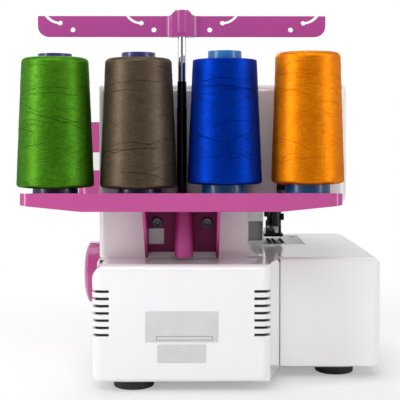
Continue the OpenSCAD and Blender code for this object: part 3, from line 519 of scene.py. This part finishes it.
def screw(name, centre, normal, r, height, hex_r, depth, material, body):
    """A cheese head with a soft rim, a dished top and a hexagon socket. Sizes are in mm."""
    def hexagon(a):
        return hex_r * math.cos(math.pi / 6) / math.cos(a % (math.pi / 3) - math.pi / 6)

    side = [(circle(r), 0), (circle(r), height - 0.5)]
    rim = [(circle(r - 0.2), height - 0.15), (circle(r - 0.6), height), (circle(r - 1.0), height)]
    dish = [(circle(r - 1.25), height - 0.35), (circle(hex_r + 0.35), height - 0.45)]
    socket = [(hexagon, height - 0.75), (hexagon, height - depth)]
    return turned(name, centre, normal, side + rim + dish + socket, material, body)


# ---- wound thread ----

CONE_STEPS = 240
CONE_RINGS = 170
LOW_STEPS, HIGH_STEPS = 6, 7       # rings in the soft shoulders at the base and at the top
STRAND = 0.0001                    # height of the ridges that the strands make
SUNK = 1.6                         # strand heights by which the ridges start inside the cone
CORE_OVERLAP = 0.0012              # how far the ends run into the core at the base
CORE_TAPER = 0.0045                # and how much further in they run at the top
# base radius, top radius, soft shoulder at the base and at the top, in mm
CONES = {"green": (33.8, 29.0, 3.0, 4.2), "brown": (34.0, 28.9, 3.0, 4.0),
         "blue": (32.8, 28.0, 2.5, 1.0), "orange": (31.9, 28.3, 3.0, 4.5)}


def wound_thread(colour, materials):
    """The cross-wound thread of one cone, with soft shoulders and strands that lie loose on it."""
    node = f"thread_{colour}"
    low, high = span(node)
    centre = Vector(((low.x + high.x) / 2, (low.y + high.y) / 2, 0))
    core_low, core_high = span(f"core_{colour}")
    base_r, top_r, soft_low, soft_high = (v * MM for v in CONES[colour])
    height = high.z - low.z
    rng = random.Random(node)
    # the ridges use the first four of six draws, and the loose strands those that follow
    phase = [rng.uniform(0, math.tau) for _ in range(6)]

    def radius(h):
        """The winding's radius at a height, without its ridges."""
        r = base_r + (top_r - base_r) * h / height - SUNK * STRAND
        if h < soft_low:
            r -= soft_low - math.sqrt(soft_low ** 2 - (soft_low - h) ** 2)
        if h > height - soft_high:
            r -= soft_high - math.sqrt(max(0, soft_high ** 2 - (h - height + soft_high) ** 2))
        return r

    def ridge(a, h):
        """Waves round and up the cone, slow ones and quick ones that cross."""
        t = h / height
        slow = math.sin(2 * a + 23 * t + phase[0]) + math.sin(3 * a - 41 * t + phase[1])
        quick = math.sin(5 * a + 210 * t + phase[2]) * math.sin(4 * a - 230 * t + phase[3])
        return 0.35 * slow + 0.5 * quick

    def rim(r, k, z):
        """The point at a radius, a step round the cone and a height."""
        a = math.tau * k / CONE_STEPS
        return centre.x + r * math.cos(a), centre.y + r * math.sin(a), z

    heights = [soft_low * (1 - math.cos(math.pi / 2 * j / LOW_STEPS)) for j in range(LOW_STEPS)]
    flat = CONE_RINGS - LOW_STEPS - HIGH_STEPS - 1
    heights += [soft_low + (height - soft_low - soft_high) * j / flat for j in range(flat + 1)]
    heights += [height - soft_high * (1 - math.sin(math.pi / 2 * j / HIGH_STEPS))
                for j in range(1, HIGH_STEPS + 1)]
    vertices, faces = [], []
    for h in heights:
        for k in range(CONE_STEPS):
            r = radius(h) + STRAND * ridge(math.tau * k / CONE_STEPS, h)
            vertices.append(rim(r, k, low.z + h))
    # end faces run in to the core, and a sleeve inside it joins them
    rings = len(heights)
    inner_low = (core_high.x - core_low.x) / 2 - CORE_OVERLAP
    inner_high = inner_low - CORE_TAPER
    for end, inner, z in ((0, inner_low, low.z), (rings - 1, inner_high, high.z)):
        start = end * CONE_STEPS
        ring = len(vertices)
        vertices += [rim(inner, k, z) for k in range(CONE_STEPS)]
        for k in range(CONE_STEPS):
            n = (k + 1) % CONE_STEPS
            quad = (start + k, start + n, ring + n, ring + k)
            faces.append(quad if end else quad[::-1])
    low_ring = rings * CONE_STEPS
    high_ring = low_ring + CONE_STEPS
    for k in range(CONE_STEPS):
        n = (k + 1) % CONE_STEPS
        faces.append((high_ring + k, high_ring + n, low_ring + n, low_ring + k))
    faces += ring_faces(rings, CONE_STEPS)
    obj = add_mesh(f"wound_{colour}", vertices, faces, materials[f"yarn_{colour}"],
                   f"cone_{colour}")
    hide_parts(node)
    loose_strands(colour, materials, centre, low.z, height, radius, rng)


LOOSE_STRANDS = 40
LOOSE_RADIUS = 0.00018             # of a strand, whose section is flatter than it is high
LOOSE_SIDES = 5
FLATTENED = 0.6                    # the section's depth against its height
LIFT = 0.6                         # its middle above the smooth winding, in ridge heights
LOOSE_STEP = 0.05                  # radians between a strand's points
FADE_POINTS = 3                    # over which each end sinks into the winding
FEWEST_POINTS = 6
CLEAR_LOW, CLEAR_HIGH = 0.0045, 0.0055   # what a strand keeps off the cone's ends


def loose_strands(colour, materials, centre, low_z, height, radius, rng):
    """A few strands that lie across the winding, sunk halfway into it."""
    vertices, faces = [], []
    for _ in range(LOOSE_STRANDS):
        start = rng.uniform(0, math.tau)
        sweep = rng.uniform(0.7, 2.2)
        rise = rng.uniform(-0.016, 0.016)
        sag = rng.uniform(0.001, 0.006)
        h0 = rng.uniform(0.006, height - 0.008)
        points = []
        steps = int(sweep / LOOSE_STEP)
        for k in range(steps + 1):
            u = k / steps
            h = h0 + rise * u + sag * math.sin(math.pi * u)
            if not CLEAR_LOW < h < height - CLEAR_HIGH:
                break
            points.append((start + sweep * u, h))
        if len(points) < FEWEST_POINTS:
            continue
        base = len(vertices)
        for k, (a, h) in enumerate(points):
            fade = min(1, k / FADE_POINTS, (len(points) - 1 - k) / FADE_POINTS)
            r_mid = radius(h) + STRAND * LIFT - LOOSE_RADIUS * (1 - fade)
            for s in range(LOOSE_SIDES):
                b = math.tau * s / LOOSE_SIDES
                r = r_mid + LOOSE_RADIUS * FLATTENED * math.cos(b)
                z = low_z + h + LOOSE_RADIUS * math.sin(b)
                vertices.append((centre.x + r * math.cos(a), centre.y + r * math.sin(a), z))
        for k in range(len(points) - 1):
            here = base + k * LOOSE_SIDES
            there = here + LOOSE_SIDES
            for s in range(LOOSE_SIDES):
                n = (s + 1) % LOOSE_SIDES
                faces.append((here + s, there + s, there + n, here + n))
        last = base + (len(points) - 1) * LOOSE_SIDES
        faces.append(tuple(base + s for s in range(LOOSE_SIDES)))
        faces.append(tuple(last + s for s in range(LOOSE_SIDES))[::-1])
    add_mesh(f"strands_{colour}", vertices, faces, materials[f"strand_{colour}"],
             f"cone_{colour}")


# ---- small pieces, at places in machine millimetres ----

def bracket_heads(materials):
    """The socket screws that hold the stand's bracket."""
    for i, side in enumerate((-1, 1)):
        head = screw(f"bracket_screw_{i}", at(side * 22.8, 2.4, 144), (0, 1, 0), r=4.9,
                     height=2.8, hex_r=2.1, depth=2.4, material=materials["screw_black"],
                     body="machine")
        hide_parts("bracket_screws")


PLATE_FACES = (49.6, 50.5)         # the plates' back, inside the casing's wall, and front


def rating_plates(materials):
    """Two bare plates on the rear casing, the larger with an empty frame for a number."""
    back, front = PLATE_FACES
    for name, half_width, bottom, top in (("rating_plate", 31.5, 45, 71.6),
                                          ("small_plate", 21, 27, 43)):
        slab(name, (-half_width, back, bottom), (half_width, front, top), axis=1, radius=1.2,
             edge=0.2, material=materials["plate"])
    left, bottom, right, top = -27, 46.6, 22, 50.2
    line = 0.35
    bars = [(left, bottom, right, bottom + line), (left, top - line, right, top),
            (left, bottom, left + line, top), (right - line, bottom, right, top)]
    for i, (x0, z0, x1, z1) in enumerate(bars):
        slab(f"plate_frame_{i}", (x0, front - 0.1, z0), (x1, front + 0.1, z1), axis=1,
             radius=0.12, edge=0.05, material=materials["mark"])


def vent_shade_sheets(materials):
    """Black sheets behind the cooling slots at both rear corners: painted shade that stands for
    the dark inside of the casing.
    """
    bottom, top = 46, 94
    for i, side in enumerate((-1, 1)):
        slab(f"vent_shade_sheet_rear_{i}", (side * 61, 45.2, bottom), (side * 73, 46.2, top), axis=1,
             radius=0.5, edge=0.2, material=materials["black"])
        slab(f"vent_shade_sheet_side_{i}", (side * 73.2, 35, bottom), (side * 74.2, 44.8, top), axis=0,
             radius=0.5, edge=0.2, material=materials["black"])


# middle, front end and rear end of each guide mark on the needle plate
GUIDE_MARKS = ((-114.5, -118, -113.6), (-117.2, -118, -113.6), (-119.9, -118, -113.6),
               (-110, -117, -115.6))
# left, right, front and rear of each dark strip in it, partly the dark feed dogs and partly
# painted shade under the foot
PLATE_FEED_AND_SHADE_STRIPS = ((-101, -98.7, -151, -132.3), (-101, -98.7, -127.7, -99.5),
                (-88, -81.5, -151, -132.3), (-88, -81.5, -127.7, -99.5))


def bed_details(materials):
    """The needle plate's screw and guide marks, its dark strips, partly feed dogs and partly
    painted shade under the foot, and a grey sheet in the guard's recess, partly its own grey and
    partly painted shade.
    """
    top = span("needle_plate")[1].z / MM
    screw("plate_screw", at(-117.4, -165, top - 1.6), (0, 0, 1), r=3.2, height=1.9, hex_r=1.3,
          depth=1.2, material=materials["dark_metal"], body="machine")
    half_width = 0.35
    for i, (x, y0, y1) in enumerate(GUIDE_MARKS):
        slab(f"guide_mark_{i}", (x - half_width, y0, top - 0.1), (x + half_width, y1, top + 0.08),
             axis=2, radius=0.3, edge=0.05, material=materials["mark"])
    for i, (x0, x1, y0, y1) in enumerate(PLATE_FEED_AND_SHADE_STRIPS):
        slab(f"plate_feed_and_shade_strip_{i}", (x0, y0, top - 0.1), (x1, y1, top + 0.12), axis=2, radius=0.4,
             edge=0.08, material=materials["black"])
    # grey sheet in the guard's recess: partly its own grey, partly painted shade
    slab("guard_recess_grey_and_shade", (-80.9, -103.1, 115.9), (-66.9, -102.3, 135.3), axis=1, radius=0.6,
         edge=0.2, material=materials["recess"])


def mechanism_details(materials):
    """Bright and dark fittings on the presser foot's ankle, which move with the foot."""
    slab("ankle_block", (-98.3, -112.6, 122.3), (-94.7, -110.6, 133.4), axis=1, radius=0.5,
         edge=0.25, material=materials["bright"], body="presser")
    slab("ankle_latch", (-92.4, -112.2, 124.2), (-87.6, -111.2, 131.8), axis=1, radius=0.6,
         edge=0.3, material=materials["screw_black"], body="presser")
    screw("ankle_screw", at(-87.6, -111, 128.4), (0, 1, 0), r=1.3, height=1.0, hex_r=0.5,
          depth=0.7, material=materials["bright"], body="presser")
    ankle_spring(materials)


def ankle_spring(materials):
    """A flat spring that leans across the ankle and bows out from it."""
    start, end = at(-89.2, -110.6, 143.6), at(-93.8, -110.6, 126)
    steps, half_width, thickness = 12, 0.45, 0.35
    gap, bow = 0.6, 1.1
    direction = (end - start).normalized()
    across = Vector((direction.z, 0, -direction.x)) * half_width * MM
    vertices = []
    for k in range(steps + 1):
        u = k / steps
        p = start.lerp(end, u) + Vector((0, (gap + bow * math.sin(math.pi * u)) * MM, 0))
        for dx, dy in ((1, 0), (1, 1), (-1, 1), (-1, 0)):
            vertices.append(p + across * dx + Vector((0, thickness * MM * dy, 0)))
    add_mesh("ankle_spring", vertices, capped_rings(steps + 1, 4), materials["chrome"],
             "presser", smooth=False)


def rocker_marks(materials):
    """The bar and the ring on the mains rocker."""
    slab("mark_on", (76.8, -31.9, 37.8), (77.42, -31.1, 42.2), axis=0, radius=0.3, edge=0.05,
         material=materials["tick"], body="rocker")
    lean = Vector((8.4, 0, 2.8)).normalized()
    outer, inner = circle(2.1), circle(1.45)
    turned("mark_off", at(78.8, -31.5, 30.8), lean,
           [(outer, -0.4), (outer, 0.1), (inner, 0.1), (inner, -0.35)],
           materials["tick"], "rocker")


# ---- the dials' ticks and marks, in metres ----

# a box whose vertices are two layers of four; the second tuple is for layers that run clockwise
BOX_FACES = ((3, 2, 1, 0), (4, 5, 6, 7), (0, 1, 5, 4), (1, 2, 6, 5), (2, 3, 7, 6), (3, 0, 4, 7))
CLOCKWISE_BOX_FACES = ((0, 1, 2, 3), (7, 6, 5, 4), (0, 4, 5, 1), (1, 5, 6, 2), (2, 6, 7, 3),
                       (3, 7, 4, 0))
# first and last tick in degrees from the top, their number and the radius where they stand
SIDE_SCALES = {"stitch_length_dial": (-120, 120, 9, 0.0165),
               "differential_dial": (-80, 80, 7, 0.0135)}


def tension_ticks(materials):
    """White setting ticks round the rim of each tension dial, every third one longer."""
    count, first, step = 10, 7.5, 30
    long_half, short_half, half_width = 0.0032, 0.002, 0.00035
    for name in ("left_needle", "right_needle", "upper_looper", "lower_looper"):
        node = f"dial_{name}"
        low, high = span(node)
        axis = (low + high) / 2
        radius = (high.z - low.z) / 2
        vertices, faces = [], []
        for k in range(count):
            a = math.radians(first + step * k)
            out = Vector((0, -math.cos(a), math.sin(a)))
            along = Vector((0, math.sin(a), math.cos(a)))
            half_length = short_half if k % 3 else long_half
            base = len(vertices)
            for lift in (-0.0003, 0.00012):
                for sx, st in ((-1, -1), (1, -1), (1, 1), (-1, 1)):
                    vertices.append(axis + out * (radius + lift) + along * half_width * st
                                    + Vector((half_length * sx, 0, 0)))
            faces += [tuple(base + i for i in face) for face in BOX_FACES]
        add_mesh(f"ticks_{name}", vertices, faces, materials["tick"], node, smooth=False)


def side_scale(node, materials):
    """Grey ticks on the casing round a side dial, every second one longer."""
    first, last, count, radius = SIDE_SCALES[node]
    long_half, short_half, half_width = 0.0016, 0.0011, 0.0003
    face = span("body_casing")[1].x
    centre = middle(node)
    for k in range(count):
        a = math.radians(first + (last - first) * k / (count - 1))
        half_length = short_half if k % 2 else long_half
        corners = [(half_length, -half_width), (half_length, half_width),
                   (-half_length, half_width), (-half_length, -half_width)]
        vertices = []
        for x in (face - 0.0002, face + 0.00015):
            for out, aside in corners:
                r = radius + out
                vertices.append((x, centre.y + r * math.sin(a) + aside * math.cos(a),
                                 centre.z + r * math.cos(a) - aside * math.sin(a)))
        add_mesh(f"tick_{node}_{k}", vertices, CLOCKWISE_BOX_FACES, materials["mark"],
                 "machine", smooth=False)


def index_mark(node, materials):
    """A side dial's own mark, raised on its face, which turns with it."""
    low, high = span(node)
    centre = middle(node)
    inner, reach, half_width = 0.005, (high.z - low.z) / 2 - 0.0028, 0.0005
    corners = [(-half_width, reach), (half_width, reach), (half_width, inner),
               (-half_width, inner)]
    vertices = [(x, centre.y + y, centre.z + z)
                for x in (high.x - 0.0003, high.x + 0.00018) for y, z in corners]
    add_mesh(f"index_{node}", vertices, CLOCKWISE_BOX_FACES, materials["mark"],
             node.removeprefix("stitch_"), smooth=False)


# ---- studio ----

AMBIENT = 0.24                     # the world's strength for diffuse light
SMOOTH = {"interpolation_type": "SMOOTHSTEP"}
LIT_POINT = (0, 0, 0.15)           # where every light points
FLOOR_REACH = 6.0                  # from its middle to each side, in metres


def make_floor():
    """A pale floor that the camera sees grow whiter away from the machine."""
    material = bpy.data.materials.new("studio_floor")
    material.use_nodes = True
    tree = material.node_tree
    tree.nodes.clear()
    out = add_node(tree, "ShaderNodeOutputMaterial")
    paint = add_node(tree, "ShaderNodeBsdfDiffuse")
    paint.inputs["Color"].default_value = (0.9, 0.9, 0.9, 1)
    glow = add_node(tree, "ShaderNodeEmission")
    glow.inputs["Color"].default_value = (1, 1, 1, 1)
    where = add_node(tree, "ShaderNodeNewGeometry")
    distance = add_node(tree, "ShaderNodeVectorMath", operation="LENGTH")
    seen = add_node(tree, "ShaderNodeLightPath")
    mix = add_node(tree, "ShaderNodeMixShader")
    tree.links.new(where.outputs["Position"], distance.inputs[0])
    whiteness = map_range(tree, distance.outputs["Value"], start=0.15, end=0.7, first=0.35,
                          **SMOOTH)
    factor = calculate(tree, "MULTIPLY", whiteness, seen.outputs["Is Camera Ray"])
    tree.links.new(factor, mix.inputs["Fac"])
    tree.links.new(paint.outputs[0], mix.inputs[1])
    tree.links.new(glow.outputs[0], mix.inputs[2])
    tree.links.new(mix.outputs[0], out.inputs["Surface"])
    mesh = bpy.data.meshes.new("studio_floor")
    corners = [(x * FLOOR_REACH, y * FLOOR_REACH, 0) for x, y in ((-1, -1), (1, -1), (1, 1),
                                                                  (-1, 1))]
    mesh.from_pydata(corners, [], [(0, 1, 2, 3)])
    mesh.materials.append(material)
    add_object("studio_floor", mesh)


def make_world():
    """White where it is seen; dim for diffuse light; a grey strip behind the photographer's place
    gives metal and satin thread something dark to reflect."""
    world = bpy.data.worlds.new("studio_world")
    bpy.context.scene.world = world
    world.use_nodes = True
    tree = world.node_tree
    background = tree.nodes["Background"]
    background.inputs["Color"].default_value = (1, 1, 1, 1)
    where = add_node(tree, "ShaderNodeTexCoord")
    split = add_node(tree, "ShaderNodeSeparateXYZ")
    tree.links.new(where.outputs["Generated"], split.inputs["Vector"])
    bearing = calculate(tree, "ARCTAN2", split.outputs["X"], split.outputs["Y"])
    aside = calculate(tree, "ABSOLUTE", bearing)
    # radians from the photographer's side: dark at first, white beside, a little less in front
    behind = map_range(tree, aside, start=0.25, end=0.8, first=0.12, last=1.0, **SMOOTH)
    ahead = map_range(tree, aside, start=1.7, end=2.4, first=1.0, last=0.75, **SMOOTH)
    cards = calculate(tree, "MULTIPLY", behind, ahead)
    seen = add_node(tree, "ShaderNodeLightPath")
    shiny = calculate(tree, "MULTIPLY", seen.outputs["Is Glossy Ray"], cards)
    clear = calculate(tree, "MAXIMUM", seen.outputs["Is Camera Ray"],
                      seen.outputs["Is Transmission Ray"])
    bright = calculate(tree, "MAXIMUM", shiny, clear)
    strength = calculate(tree, "MAXIMUM", bright, AMBIENT)
    tree.links.new(strength, background.inputs["Strength"])


def area_light(name, place, size, watts):
    """A softbox that points at the machine."""
    data = bpy.data.lights.new(name, "AREA")
    data.shape = "RECTANGLE"
    data.size, data.size_y = size
    data.energy = watts
    light = add_object(name, data)
    light.location = place
    aim = Vector(LIT_POINT) - Vector(place)
    light.rotation_euler = aim.to_track_quat("-Z", "Y").to_euler()


def make_lights():
    """Tall boxes beside the camera, one above it, one overhead and one on the operator's side."""
    area_light("key_box", place=(0.1, 1.2, 1.1), size=(0.9, 0.6), watts=8)
    area_light("left_box", place=(1.2, 0.7, 0.5), size=(0.24, 1.5), watts=12)
    area_light("right_box", place=(-1.2, 0.7, 0.5), size=(0.24, 1.5), watts=7)
    area_light("top_box", place=(0, -0.1, 1.6), size=(1.2, 1.0), watts=5)
    area_light("front_box", place=(0.3, -1.2, 1.0), size=(1.2, 0.9), watts=12)


# ---- everything ----

bpy.context.scene.view_settings.view_transform = "Standard"
make_camera()
materials = make_materials()
dress_cad(materials)
for colour in THREADS:
    wound_thread(colour, materials)
rating_plates(materials)
bracket_heads(materials)
vent_shade_sheets(materials)
bed_details(materials)
mechanism_details(materials)
tension_ticks(materials)
for dial in SIDE_SCALES:
    side_scale(dial, materials)
    index_mark(dial, materials)
rocker_marks(materials)
make_floor()
make_world()
make_lights()
